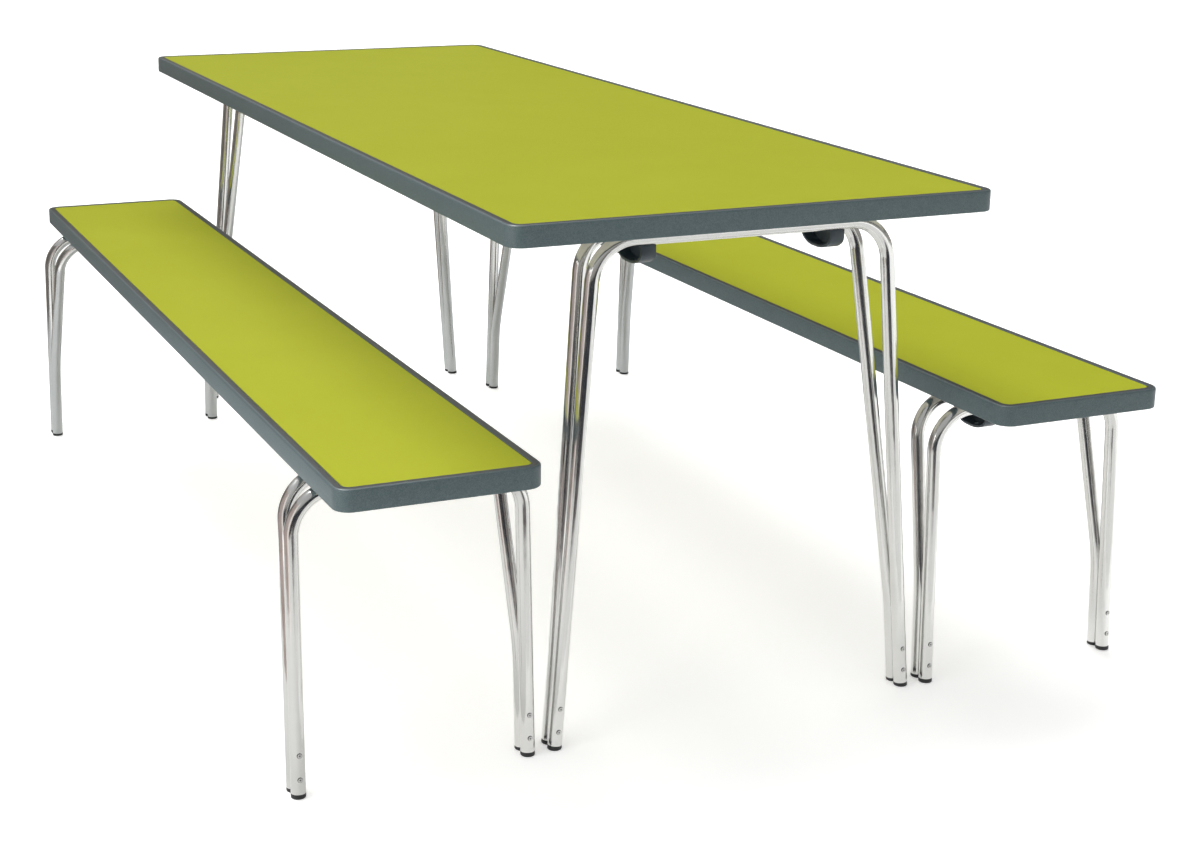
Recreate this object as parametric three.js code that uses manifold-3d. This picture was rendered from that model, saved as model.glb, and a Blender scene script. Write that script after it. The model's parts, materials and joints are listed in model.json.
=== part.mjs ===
// A folding cafeteria table with two matching folding benches.
// Each top is a laminated board in a moulded edge. It stands on two folding leg frames.
// A leg frame is two bent tube hoops that meet at the feet and grip two moulded cams
// under the top. The inner hoop's bar turns in the cams, and the outer hoop's bar
// passes round their rounded ends as the frame folds in under the top.
// Units are millimetres, +Z is up, +X runs along the tops and the floor is at z = 0.

import * as THREE from 'three';
import { mergeVertices } from 'three/addons/utils/BufferGeometryUtils.js';
import Module from 'manifold-3d';

// Sizes of the table and of the benches
const TABLE_LENGTH = 1830;
const TABLE_WIDTH = 690;
const TABLE_HEIGHT = 700;
const BENCH_LENGTH = 1830;
const BENCH_WIDTH = 260;
const BENCH_HEIGHT = 425;

// How the benches stand beside the table
const FOOT_TO_FOOT_SPACE = 20;
const BENCH_SHIFT = 72;

// Layers and edge of a top, from the upper face down
const EDGE_HEIGHT = 28;
const EDGE_LIP = 12;
const EDGE_ROUND = 3;
const EDGE_ROUND_STEPS = 3;
const CORNER_RADIUS = 22;
const LAMINATE_RECESS = 0.6;
const LAMINATE_THICKNESS = 1.2;
const CORE_THICKNESS = 18;
const BACKING_THICKNESS = 0.8;
const GLUE_LINE = 0.2;

// Tube of the leg frames
const TUBE_DIAMETER = 19;
const TUBE_WALL = 1.5;
const HOOP_BEND_RADIUS = 57;
const HOOP_BEND_STEPS = 5;
const MEETING_BEND_RADIUS = 300;
const MEETING_BEND_STEPS = 2;
const TUBE_GAP = 0.3;
const BAR_SPACING = 62;
const INNER_HOOP_INSET = 11;
const BAR_TO_EDGE_CLEARANCE = 0.5;

// Shape of the table's leg frames and of the benches' leg frames
const TABLE_BAR_SETBACK = 53;
const TABLE_BAR_HALF = 210;
const TABLE_FOOT_HALF = 264;
const TABLE_FOOT_KICK = 19;
const TABLE_MEETING_HEIGHT = 115;
const TABLE_CAM_INSET = 1;
const BENCH_BAR_SETBACK = 123;
const BENCH_BAR_HALF = 150;
const BENCH_FOOT_HALF = 153;
const BENCH_FOOT_KICK = 20;
const BENCH_MEETING_HEIGHT = 138;
const BENCH_CAM_INSET = 18;

// Twin caps that plug the two tubes of each foot
const CAP_SOLE = 6;
const CAP_OVERHANG = 0.2;
const CAP_WEB = 10;
const CAP_STEM_LENGTH = 16;
const CAP_STEM_CLEARANCE = 0.3;
const CAP_SEAT_GAP = 0.2;

// Moulded cams that hold the bars under a top
const CAM_THICKNESS = 20;
const CAM_WALL = 3.5;
const CAM_DEPTH = 40;
const CAM_TOE_LENGTH = 33;
const CAM_TOE_HEIGHT = 22;
const CAM_RUNNING_CLEARANCE = 0.3;
const CAM_BAR_CLEARANCE = 0.5;

// Pan-head screw that holds each cam to the board
const SCREW_DIAMETER = 4;
const SCREW_LENGTH = 18;
const SCREW_POINT_LENGTH = 4;
const SCREW_HEAD_DIAMETER = 8;
const SCREW_HEAD_FLAT = 5.6;
const SCREW_HEAD_HEIGHT = 2.4;
const SCREW_CLEARANCE = 0.3;
const SCREW_PILOT_SPARE = 1;

// How finely round shapes are cut
const TUBE_SIDES = 12;
const BORE_SIDES = 6;
const SCREW_SIDES = 8;
const ARC_STEPS = 3;

// Sizes that follow from the ones above
const TUBE_RADIUS = TUBE_DIAMETER / 2;
const BORE_RADIUS = TUBE_RADIUS - TUBE_WALL;
const FOOT_PITCH = TUBE_DIAMETER + TUBE_GAP;
const LAMINATE_UNDERSIDE = LAMINATE_RECESS + LAMINATE_THICKNESS;
const CORE_FACE = LAMINATE_UNDERSIDE + GLUE_LINE;
const CORE_UNDERSIDE = CORE_FACE + CORE_THICKNESS;
const BACKING_FACE = CORE_UNDERSIDE + GLUE_LINE;
const UNDERSIDE = BACKING_FACE + BACKING_THICKNESS;
const BAR_DROP = EDGE_HEIGHT + BAR_TO_EDGE_CLEARANCE + TUBE_RADIUS;
const CAM_TOP = BAR_DROP - UNDERSIDE - GLUE_LINE;
const CAM_SLOT_RADIUS = (TUBE_RADIUS + CAM_RUNNING_CLEARANCE) / Math.cos(Math.PI / 4 / ARC_STEPS);
const CAM_RADIUS = BAR_SPACING - TUBE_RADIUS - CAM_BAR_CLEARANCE;
const CAM_HEEL = -(CAM_SLOT_RADIUS + CAM_WALL);
const SCREW_SEAT = CAM_TOP - CAM_WALL;
const CAM_TIP = Math.sqrt(CAM_RADIUS ** 2 - CAM_TOP ** 2);
const SCREW_PLACE = (CAM_SLOT_RADIUS + CAM_TIP) / 2;
const BENCH_REACH = TABLE_FOOT_HALF + FOOT_TO_FOOT_SPACE + TUBE_DIAMETER + BENCH_FOOT_HALF;

// Finishes
const LAMINATE = new THREE.MeshStandardMaterial({ color: 0xb2b83f, roughness: 0.45, metalness: 0 });
const MOULDED_EDGE = new THREE.MeshStandardMaterial({ color: 0x566268, roughness: 0.55, metalness: 0 });
const BOARD = new THREE.MeshStandardMaterial({ color: 0xb99b6b, roughness: 0.85, metalness: 0 });
const BACKING = new THREE.MeshStandardMaterial({ color: 0xc9c6bc, roughness: 0.6, metalness: 0 });
const ALUMINIUM = new THREE.MeshStandardMaterial({ color: 0xd8d8d6, roughness: 0.2, metalness: 1 });
const CAM_PLASTIC = new THREE.MeshStandardMaterial({ color: 0x343c42, roughness: 0.5, metalness: 0 });
const CAP_PLASTIC = new THREE.MeshStandardMaterial({ color: 0x1b1d1f, roughness: 0.6, metalness: 0 });
const ZINC = new THREE.MeshStandardMaterial({ color: 0xb4b6b8, roughness: 0.35, metalness: 1 });

const wasm = await Module();
wasm.setup();

// A closed geometry as a solid that can be joined and cut
function solidOf(geometry) {
  const bare = geometry.clone();
  bare.deleteAttribute('normal');
  bare.deleteAttribute('uv');
  const merged = mergeVertices(bare);
  return new wasm.Manifold(new wasm.Mesh({
    numProp: 3,
    vertProperties: new Float32Array(merged.attributes.position.array),
    triVerts: new Uint32Array(merged.index.array),
  }));
}

// A solid's surface as a geometry, with one normal to each flat face
function geometryOf(solid) {
  const surface = solid.getMesh();
  const indexed = new THREE.BufferGeometry();
  indexed.setAttribute('position', new THREE.BufferAttribute(surface.vertProperties, 3));
  indexed.setIndex(new THREE.BufferAttribute(surface.triVerts, 1));
  const geometry = indexed.toNonIndexed();
  geometry.computeVertexNormals();
  return geometry;
}

function addPiece(group, name, geometry, material) {
  const piece = new THREE.Mesh(geometry, material);
  piece.name = name;
  group.add(piece);
}

function ringPoints(radius, sides) {
  return Array.from({ length: sides }, (_, i) => {
    const angle = (2 * Math.PI * i) / sides;
    return new THREE.Vector2(radius * Math.cos(angle), radius * Math.sin(angle));
  });
}

function roundedRectangle(length, width, radius) {
  const x = length / 2 - radius;
  const y = width / 2 - radius;
  const shape = new THREE.Shape();
  shape.absarc(x, -y, radius, -Math.PI / 2, 0);
  shape.absarc(x, y, radius, 0, Math.PI / 2);
  shape.absarc(-x, y, radius, Math.PI / 2, Math.PI);
  shape.absarc(-x, -y, radius, Math.PI, 1.5 * Math.PI);
  shape.closePath();
  return shape;
}

// A flat-ended prism that stands on z = low
function prism(shape, low, depth) {
  const geometry = new THREE.ExtrudeGeometry(shape, { depth, bevelEnabled: false, curveSegments: ARC_STEPS });
  return geometry.translate(0, 0, low);
}

// A round upright hole, as the solid that is cut away
function drill(x, y, low, high, radius) {
  const hole = prism(new THREE.Shape(ringPoints(radius, SCREW_SIDES)), low, high - low);
  return solidOf(hole.translate(x, y, 0));
}

// The edge moulding: a frame with softly rounded outer corners, open where the board sits
function edgeGeometry(length, width) {
  const shrink = 2 * EDGE_ROUND;
  const outline = roundedRectangle(length - shrink, width - shrink, CORNER_RADIUS - EDGE_ROUND);
  const block = new THREE.ExtrudeGeometry(outline, {
    depth: EDGE_HEIGHT - shrink,
    bevelSize: EDGE_ROUND,
    bevelThickness: EDGE_ROUND,
    bevelSegments: EDGE_ROUND_STEPS,
    curveSegments: ARC_STEPS,
  });
  block.translate(0, 0, EDGE_ROUND - EDGE_HEIGHT);
  const inside = roundedRectangle(length - 2 * EDGE_LIP, width - 2 * EDGE_LIP, CORNER_RADIUS - EDGE_LIP);
  const opening = prism(inside, -2 * EDGE_HEIGHT, 3 * EDGE_HEIGHT);
  return geometryOf(solidOf(block).subtract(solidOf(opening)));
}

// One sheet of the panel, drilled where the cams' screws pass
function sheetGeometry(length, width, low, thickness, holes) {
  const inset = 2 * (EDGE_LIP + GLUE_LINE);
  const outline = roundedRectangle(length - inset, width - inset, CORNER_RADIUS - EDGE_LIP - GLUE_LINE);
  let sheet = solidOf(prism(outline, low, thickness));
  for (const hole of holes) {
    sheet = sheet.subtract(drill(hole.x, hole.y, low - thickness, hole.top, hole.radius));
  }
  return geometryOf(sheet);
}

// Stations along a tube that follows straight runs joined by round bends
function tubeStations(corners, bends) {
  const runs = corners.slice(1).map((corner, i) => corner.clone().sub(corners[i]).normalize());
  const stations = [{ at: corners[0], along: runs[0] }];
  bends.forEach(({ radius, steps }, i) => {
    const turn = runs[i].angleTo(runs[i + 1]);
    const start = corners[i + 1].clone().addScaledVector(runs[i], -radius * Math.tan(turn / 2));
    const inward = runs[i + 1].clone().addScaledVector(runs[i], -Math.cos(turn)).normalize();
    for (let k = 0; k <= steps; k += 1) {
      const angle = (turn * k) / steps;
      const at = start.clone().addScaledVector(runs[i], radius * Math.sin(angle));
      at.addScaledVector(inward, radius * (1 - Math.cos(angle)));
      const along = runs[i].clone().multiplyScalar(Math.cos(angle)).addScaledVector(inward, Math.sin(angle));
      stations.push({ at, along });
    }
  });
  stations.push({ at: corners[corners.length - 1], along: runs[runs.length - 1] });
  return stations;
}

// A route that visits its stations in equal steps, so bends get many and straight runs few
class TubeRoute extends THREE.Curve {
  constructor(stations) {
    super();
    this.stations = stations;
  }

  station(u) {
    return this.stations[Math.round(u * (this.stations.length - 1))];
  }

  getPointAt(u, target = new THREE.Vector3()) {
    return target.copy(this.station(u).at);
  }

  getTangentAt(u, target = new THREE.Vector3()) {
    return target.copy(this.station(u).along);
  }
}

function tubeGeometry(stations) {
  const section = new THREE.Shape(ringPoints(TUBE_RADIUS, TUBE_SIDES));
  section.holes.push(new THREE.Path(ringPoints(BORE_RADIUS, BORE_SIDES)));
  return new THREE.ExtrudeGeometry(section, {
    steps: stations.length - 1,
    extrudePath: new TubeRoute(stations),
    bevelEnabled: false,
  });
}

// Lines of one leg of a frame, seen from the inner bar's axis: +X is towards the end of the top
function legLines(size, side) {
  const corner = new THREE.Vector3(BAR_SPACING, side * size.barHalf, 0);
  const floor = new THREE.Vector3(BAR_SPACING + size.footKick, side * size.footHalf, -size.axisHeight);
  const up = corner.clone().sub(floor).normalize();
  const outward = new THREE.Vector3(1, 0, 0).addScaledVector(up, -up.x).normalize();
  const across = new THREE.Vector3().crossVectors(up, outward);
  const outerEnd = floor.clone().addScaledVector(up, CAP_SOLE);
  const innerEnd = outerEnd.clone().addScaledVector(outward, -FOOT_PITCH);
  const rise = (size.meetingHeight - CAP_SOLE) / up.z;
  const meeting = innerEnd.clone().addScaledVector(up, rise);
  const innerCorner = new THREE.Vector3(0, side * (size.barHalf - INNER_HOOP_INSET), 0);
  return { corner, innerCorner, up, outward, across, outerEnd, innerEnd, meeting };
}

function outerHoopGeometry(left, right) {
  const corners = [left.outerEnd, left.corner, right.corner, right.outerEnd];
  const bend = { radius: HOOP_BEND_RADIUS, steps: HOOP_BEND_STEPS };
  return tubeGeometry(tubeStations(corners, [bend, bend]));
}

function innerHoopGeometry(left, right) {
  const corners = [
    left.innerEnd, left.meeting, left.innerCorner, right.innerCorner, right.meeting, right.innerEnd,
  ];
  const meet = { radius: MEETING_BEND_RADIUS, steps: MEETING_BEND_STEPS };
  const bend = { radius: HOOP_BEND_RADIUS, steps: HOOP_BEND_STEPS };
  return tubeGeometry(tubeStations(corners, [meet, bend, bend, meet]));
}

// A twin cap: a figure-eight sole cut level with the floor, and a stem in each tube
function footCapGeometry(leg, axisHeight) {
  const radius = TUBE_RADIUS + CAP_OVERHANG;
  const half = FOOT_PITCH / 2;
  const notch = Math.asin(CAP_WEB / 2 / radius);
  const outline = new THREE.Shape();
  outline.absarc(half, 0, radius, notch - Math.PI, Math.PI - notch);
  outline.absarc(-half, 0, radius, notch, 2 * Math.PI - notch);
  outline.closePath();
  const soleDepth = 2 * CAP_SOLE;
  const pieces = [prism(outline, -soleDepth - CAP_SEAT_GAP, soleDepth)];
  const stemRadius = BORE_RADIUS * Math.cos(Math.PI / BORE_SIDES) - CAP_STEM_CLEARANCE;
  const stemSection = new THREE.Shape(ringPoints(stemRadius, BORE_SIDES));
  for (const x of [-half, half]) {
    const stem = prism(stemSection, -CAP_SOLE / 2, CAP_SOLE / 2 + CAP_STEM_LENGTH);
    pieces.push(stem.translate(x, 0, 0));
  }
  const middle = leg.outerEnd.clone().add(leg.innerEnd).multiplyScalar(0.5);
  const place = new THREE.Matrix4().makeBasis(leg.outward, leg.across, leg.up).setPosition(middle);
  const [sole, ...stems] = pieces.map((piece) => solidOf(piece.applyMatrix4(place)));
  const cap = stems.reduce((whole, stem) => whole.add(stem), sole);
  const size = 10 * TUBE_DIAMETER;
  const ground = new THREE.BoxGeometry(size, size, size);
  ground.translate(middle.x, middle.y, -axisHeight - size / 2);
  return geometryOf(cap.subtract(solidOf(ground)));
}

// Side view of a cam, x outward from the inner bar's axis and y up.
// The notch in its top takes the inner bar, and its outer end is round about that bar.
function camOutline() {
  const bottom = Math.atan2(-CAM_DEPTH, Math.sqrt(CAM_RADIUS ** 2 - CAM_DEPTH ** 2));
  const top = Math.asin(CAM_TOP / CAM_RADIUS);
  const toeX = CAM_HEEL + CAM_TOE_LENGTH;
  const toeY = CAM_TOE_HEIGHT - CAM_DEPTH;
  const outline = new THREE.Shape();
  outline.moveTo(CAM_HEEL, CAM_TOP);
  outline.absellipse(toeX, toeY, CAM_TOE_LENGTH, CAM_TOE_HEIGHT, Math.PI, 1.5 * Math.PI);
  outline.absarc(0, 0, CAM_RADIUS, bottom, top);
  outline.lineTo(CAM_SLOT_RADIUS, CAM_TOP);
  outline.absarc(0, 0, CAM_SLOT_RADIUS, 0, -Math.PI, true);
  outline.lineTo(-CAM_SLOT_RADIUS, CAM_TOP);
  outline.closePath();
  return outline;
}

// The hollow in a cam, one wall inside its outline and one wall clear of the bar's notch
function camHollow() {
  const radius = CAM_RADIUS - CAM_WALL;
  const floor = CAM_WALL - CAM_DEPTH;
  const roof = CAM_TOP - CAM_WALL;
  const notch = CAM_SLOT_RADIUS + CAM_WALL;
  const bottom = Math.atan2(floor, Math.sqrt(radius ** 2 - floor ** 2));
  const toeX = CAM_HEEL + CAM_TOE_LENGTH;
  const toeY = CAM_TOE_HEIGHT - CAM_DEPTH;
  const hollow = new THREE.Shape();
  hollow.moveTo(CAM_HEEL + CAM_WALL, -notch);
  hollow.absellipse(toeX, toeY, CAM_TOE_LENGTH - CAM_WALL, CAM_TOE_HEIGHT - CAM_WALL, Math.PI, 1.5 * Math.PI);
  hollow.absarc(0, 0, radius, bottom, Math.asin(roof / radius));
  hollow.lineTo(notch, roof);
  hollow.lineTo(notch, -notch);
  hollow.closePath();
  return hollow;
}

// A cam in place about the inner bar's axis, its hollow open to -Y, with the screw's holes
function camGeometry() {
  const block = solidOf(prism(camOutline(), 0, CAM_THICKNESS).rotateX(Math.PI / 2));
  const hollow = solidOf(prism(camHollow(), CAM_WALL, CAM_THICKNESS).rotateX(Math.PI / 2));
  const screwY = -CAM_THICKNESS / 2;
  const shankHole = drill(SCREW_PLACE, screwY, 0, 2 * CAM_TOP, SCREW_DIAMETER / 2 + SCREW_CLEARANCE);
  const driverHole = drill(
    SCREW_PLACE, screwY, -2 * CAM_DEPTH, 0, SCREW_HEAD_DIAMETER / 2 + SCREW_CLEARANCE,
  );
  const cam = block.subtract(hollow).subtract(shankHole).subtract(driverHole);
  return geometryOf(cam).translate(0, CAM_THICKNESS / 2, 0);
}

// A screw that points up, with the underside of its head at z = 0
function screwGeometry() {
  const shank = SCREW_DIAMETER / 2;
  const head = SCREW_HEAD_DIAMETER / 2;
  const profile = [
    [0, -SCREW_HEAD_HEIGHT], [SCREW_HEAD_FLAT / 2, -SCREW_HEAD_HEIGHT], [head, -SCREW_HEAD_HEIGHT / 2],
    [head, 0], [shank, 0], [shank, SCREW_LENGTH - SCREW_POINT_LENGTH], [0, SCREW_LENGTH],
  ].map(([x, y]) => new THREE.Vector2(x, y));
  return new THREE.LatheGeometry(profile, SCREW_SIDES).rotateX(Math.PI / 2);
}

// Middle of a cam along the inner bar, set in from the start of the bar's bend
function camPlace(leg, inset) {
  const turn = Math.PI - leg.meeting.clone().sub(leg.innerCorner).angleTo(new THREE.Vector3(0, -1, 0));
  const straight = leg.innerCorner.y - HOOP_BEND_RADIUS * Math.tan(turn / 2);
  return straight - inset - CAM_THICKNESS / 2;
}

// One folding unit, table or bench, about the middle of its floor
function foldingUnit(name, size) {
  const unit = new THREE.Group();
  const left = legLines(size, -1);
  const right = legLines(size, 1);
  const axisX = size.length / 2 - size.barSetback - BAR_SPACING;
  const camY = camPlace(right, size.camInset);
  const ends = [{ end: 'near', facing: 1 }, { end: 'far', facing: -1 }];
  const sides = [-1, 1];
  const screwTop = size.height - BAR_DROP + SCREW_SEAT + SCREW_LENGTH;
  const places = ends.flatMap(({ facing }) => sides.map((side) => ({
    x: facing * (axisX + SCREW_PLACE),
    y: side * camY,
  })));
  const backingHoles = places.map((place) => ({
    ...place, top: size.height, radius: SCREW_DIAMETER / 2 + SCREW_CLEARANCE,
  }));
  const pilotHoles = places.map((place) => ({
    ...place, top: screwTop + SCREW_PILOT_SPARE, radius: SCREW_DIAMETER / 2 + SCREW_CLEARANCE,
  }));

  const { length, width, height } = size;
  const sheet = (drop, thickness, holes) => sheetGeometry(length, width, height - drop, thickness, holes);
  addPiece(unit, `${name}_laminate`, sheet(LAMINATE_UNDERSIDE, LAMINATE_THICKNESS, []), LAMINATE);
  addPiece(unit, `${name}_core`, sheet(CORE_UNDERSIDE, CORE_THICKNESS, pilotHoles), BOARD);
  addPiece(unit, `${name}_backing`, sheet(UNDERSIDE, BACKING_THICKNESS, backingHoles), BACKING);
  addPiece(unit, `${name}_edge`, edgeGeometry(length, width).translate(0, 0, height), MOULDED_EDGE);

  for (const { end, facing } of ends) {
    const frame = new THREE.Group();
    frame.position.set(facing * axisX, 0, size.axisHeight);
    frame.rotation.z = facing > 0 ? 0 : Math.PI;
    const part = `${name}_${end}`;
    addPiece(frame, `${part}_outer_hoop`, outerHoopGeometry(left, right), ALUMINIUM);
    addPiece(frame, `${part}_inner_hoop`, innerHoopGeometry(left, right), ALUMINIUM);
    for (const side of sides) {
      const hand = side * facing < 0 ? 'left' : 'right';
      const leg = side < 0 ? left : right;
      const seat = SCREW_SEAT - GLUE_LINE;
      addPiece(frame, `${part}_${hand}_foot_cap`, footCapGeometry(leg, size.axisHeight), CAP_PLASTIC);
      addPiece(frame, `${part}_${hand}_cam`, camGeometry().translate(0, side * camY, 0), CAM_PLASTIC);
      const screw = screwGeometry().translate(SCREW_PLACE, side * camY, seat);
      addPiece(frame, `${part}_${hand}_cam_screw`, screw, ZINC);
    }
    unit.add(frame);
  }
  return unit;
}

const TABLE = {
  length: TABLE_LENGTH,
  width: TABLE_WIDTH,
  height: TABLE_HEIGHT,
  axisHeight: TABLE_HEIGHT - BAR_DROP,
  barSetback: TABLE_BAR_SETBACK,
  barHalf: TABLE_BAR_HALF,
  footHalf: TABLE_FOOT_HALF,
  footKick: TABLE_FOOT_KICK,
  meetingHeight: TABLE_MEETING_HEIGHT,
  camInset: TABLE_CAM_INSET,
};

const BENCH = {
  length: BENCH_LENGTH,
  width: BENCH_WIDTH,
  height: BENCH_HEIGHT,
  axisHeight: BENCH_HEIGHT - BAR_DROP,
  barSetback: BENCH_BAR_SETBACK,
  barHalf: BENCH_BAR_HALF,
  footHalf: BENCH_FOOT_HALF,
  footKick: BENCH_FOOT_KICK,
  meetingHeight: BENCH_MEETING_HEIGHT,
  camInset: BENCH_CAM_INSET,
};

// The set stands with the middle of its whole footprint at the origin
const nearEnd = Math.max(TABLE_LENGTH / 2, BENCH_LENGTH / 2 + BENCH_SHIFT);
const farEnd = Math.min(-TABLE_LENGTH / 2, BENCH_SHIFT - BENCH_LENGTH / 2);
const middleX = (nearEnd + farEnd) / 2;

const tableWithBenches = new THREE.Group();
const table = foldingUnit('table', TABLE);
table.position.set(-middleX, 0, 0);
const leftBench = foldingUnit('left_bench', BENCH);
leftBench.position.set(BENCH_SHIFT - middleX, -BENCH_REACH, 0);
const rightBench = foldingUnit('right_bench', BENCH);
rightBench.position.set(BENCH_SHIFT - middleX, BENCH_REACH, 0);
tableWithBenches.add(table, leftBench, rightBench);

export default tableWithBenches;
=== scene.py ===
"""A folding cafeteria table with two matching folding benches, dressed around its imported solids."""

import json
import math

import bmesh
import bpy
from mathutils import Matrix, Vector


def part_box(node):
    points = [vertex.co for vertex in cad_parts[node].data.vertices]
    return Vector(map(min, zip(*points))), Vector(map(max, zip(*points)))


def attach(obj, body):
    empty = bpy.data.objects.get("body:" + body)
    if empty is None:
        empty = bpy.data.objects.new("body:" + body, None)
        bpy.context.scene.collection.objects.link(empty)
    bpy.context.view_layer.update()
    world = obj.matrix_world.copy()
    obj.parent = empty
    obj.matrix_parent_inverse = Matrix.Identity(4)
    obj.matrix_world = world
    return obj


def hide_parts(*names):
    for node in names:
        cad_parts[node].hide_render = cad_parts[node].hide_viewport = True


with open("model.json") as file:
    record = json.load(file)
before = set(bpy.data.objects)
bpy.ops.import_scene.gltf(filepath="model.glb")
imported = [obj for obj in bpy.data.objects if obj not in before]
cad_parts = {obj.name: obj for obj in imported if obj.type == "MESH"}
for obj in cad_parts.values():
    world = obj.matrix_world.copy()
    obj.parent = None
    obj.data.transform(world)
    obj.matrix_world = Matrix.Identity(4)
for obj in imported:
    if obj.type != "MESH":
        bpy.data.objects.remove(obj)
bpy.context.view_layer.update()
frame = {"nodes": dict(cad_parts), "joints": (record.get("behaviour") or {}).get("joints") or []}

# Board cores
# Chipboard, 18 mm thick, that gives each top its stiffness. It is sawn to size and closed in
# all round by the two sheets and the moulded edge, so little more than its colour ever shows.
UNITS = ("table", "left_bench", "right_bench")
MM = 0.001


def linear(code):
    """An sRGB hex colour as linear red, green, blue and alpha."""
    shares = (int(code[i:i + 2], 16) / 255 for i in (1, 3, 5))
    return [s / 12.92 if s <= 0.04045 else ((s + 0.055) / 1.055) ** 2.4 for s in shares] + [1]


def add_node(material, kind, sockets=None, **settings):
    """Adds one shader node with its settings, and sets its sockets or links them to outputs."""
    node = material.node_tree.nodes.new("ShaderNode" + kind)
    for name, value in settings.items():
        setattr(node, name, value)
    for socket, value in (sockets or {}).items():
        if isinstance(value, bpy.types.NodeSocket):
            material.node_tree.links.new(value, node.inputs[socket])
        else:
            node.inputs[socket].default_value = value
    return node


def new_material(name):
    """An empty material and the Object coordinates that its patterns follow."""
    material = bpy.data.materials.new(name)
    material.use_nodes = True
    material.node_tree.nodes.clear()
    return material, add_node(material, "TexCoord").outputs["Object"]


def per_mm(size):
    """Scale of a pattern whose marks are this many millimetres across."""
    return 1 / (size * MM)


def dress(piece, material):
    piece.data.materials.clear()
    piece.data.materials.append(material)


# Raw chipboard: pressed wood flakes of a few millimetres, each a little lighter or darker
chipboard, where = new_material("raw_chipboard")
flakes = add_node(chipboard, "TexVoronoi", {"Vector": where, "Scale": per_mm(4)})
dust = add_node(chipboard, "TexNoise", {"Vector": where, "Scale": per_mm(25), "Detail": 4})
tone = add_node(chipboard, "MixRGB", {
    "Fac": flakes.outputs["Color"], "Color1": linear("#9C7B4E"), "Color2": linear("#CDB083"),
})
shaded = add_node(chipboard, "MixRGB", {
    "Fac": dust.outputs["Fac"], "Color1": tone.outputs["Color"], "Color2": linear("#B4945F"),
})
relief = add_node(chipboard, "Bump", {"Height": flakes.outputs["Distance"], "Distance": 0.3 * MM})
shader = add_node(chipboard, "BsdfPrincipled", {
    "Base Color": shaded.outputs["Color"], "Roughness": 0.9, "Normal": relief.outputs["Normal"],
})
add_node(chipboard, "OutputMaterial", {"Surface": shader.outputs["BSDF"]})
for unit in UNITS:
    dress(frame["nodes"][unit + "_core"], chipboard)

# Backing sheets
# A plain resin-paper sheet, 0.8 mm, glued under the board so that it stays flat. It is the
# whole underside that shows between the leg frames.
# Balancing paper: a matt off-white with a faint cloudiness from the resin
balancing_paper, where = new_material("balancing_paper")
cloud = add_node(balancing_paper, "TexNoise", {"Vector": where, "Scale": per_mm(70), "Detail": 3})
fibre = add_node(balancing_paper, "TexNoise", {"Vector": where, "Scale": per_mm(3), "Detail": 2})
tone = add_node(balancing_paper, "MixRGB", {
    "Fac": cloud.outputs["Fac"], "Color1": linear("#BDBAB0"), "Color2": linear("#D2CFC6"),
})
relief = add_node(balancing_paper, "Bump", {"Height": fibre.outputs["Fac"], "Distance": 0.05 * MM})
shader = add_node(balancing_paper, "BsdfPrincipled", {
    "Base Color": tone.outputs["Color"], "Roughness": 0.6, "Normal": relief.outputs["Normal"],
})
add_node(balancing_paper, "OutputMaterial", {"Surface": shader.outputs["BSDF"]})
for unit in UNITS:
    dress(frame["nodes"][unit + "_backing"], balancing_paper)

# Laminates
# The lime green sheet that people see and use, 1.2 mm of resin and paper pressed hard and
# glued to the board. It lies just below the lip of the edge.
# High-pressure laminate: an even colour under a fine pressed texture that softens reflections
laminate, where = new_material("high_pressure_laminate")
cloud = add_node(laminate, "TexNoise", {"Vector": where, "Scale": per_mm(120), "Detail": 2})
# the pressed texture is about 0.4 mm, drawn five times as coarse so that it shows
press = add_node(laminate, "TexNoise", {"Vector": where, "Scale": per_mm(2), "Detail": 3})
tone = add_node(laminate, "MixRGB", {
    "Fac": cloud.outputs["Fac"], "Color1": linear("#ACB229"), "Color2": linear("#B2B830"),
})
sheen = add_node(laminate, "MapRange", {"Value": press.outputs["Fac"], "To Min": 0.38, "To Max": 0.5})
relief = add_node(laminate, "Bump", {"Height": press.outputs["Fac"], "Distance": 0.03 * MM})
shader = add_node(laminate, "BsdfPrincipled", {
    "Base Color": tone.outputs["Color"], "Roughness": sheen.outputs["Result"], "IOR": 1.5,
    "Specular IOR Level": 0.03, "Normal": relief.outputs["Normal"],
})
add_node(laminate, "OutputMaterial", {"Surface": shader.outputs["BSDF"]})
for unit in UNITS:
    dress(frame["nodes"][unit + "_laminate"], laminate)

# Moulded edges
# A dark blue-grey frame cast round each board in one piece, 28 mm high, with rounded corners
# and a lip 12 mm wide that stands 0.6 mm above the laminate. A dark hairline joint shows
# between the two.
CORNER_RADIUS = 22 * MM
EDGE_LIP = 12 * MM
EDGE_JOINT = 0.6 * MM
EDGE_UPPER_ROUND = 3 * MM
EDGE_LOWER_ROUND = 1.6 * MM
EDGE_INNER_ROUND = 0.8 * MM
TOP_BODIES = {"table": "table_top", "left_bench": "left_bench_seat", "right_bench": "right_bench_seat"}


def pick(piece, kind, test):
    """Selects just those verts, edges or faces of the piece in edit mode that pass the test."""
    bpy.ops.mesh.select_mode(type=kind[:-1].upper())
    bpy.ops.mesh.select_all(action="DESELECT")
    mesh = bmesh.from_edit_mesh(piece.data)
    for item in getattr(mesh, kind):
        if test(item):
            item.select_set(True)
    bmesh.update_edit_mesh(piece.data)


def apply_place(piece):
    """Moves the piece's place, turn and scale into its mesh."""
    bpy.ops.object.select_all(action="DESELECT")
    piece.select_set(True)
    bpy.context.view_layer.objects.active = piece
    bpy.ops.object.transform_apply(location=True, rotation=True, scale=True)


def edit(piece, mode="EDIT"):
    bpy.context.view_layer.objects.active = piece
    bpy.ops.object.mode_set(mode=mode)


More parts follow.
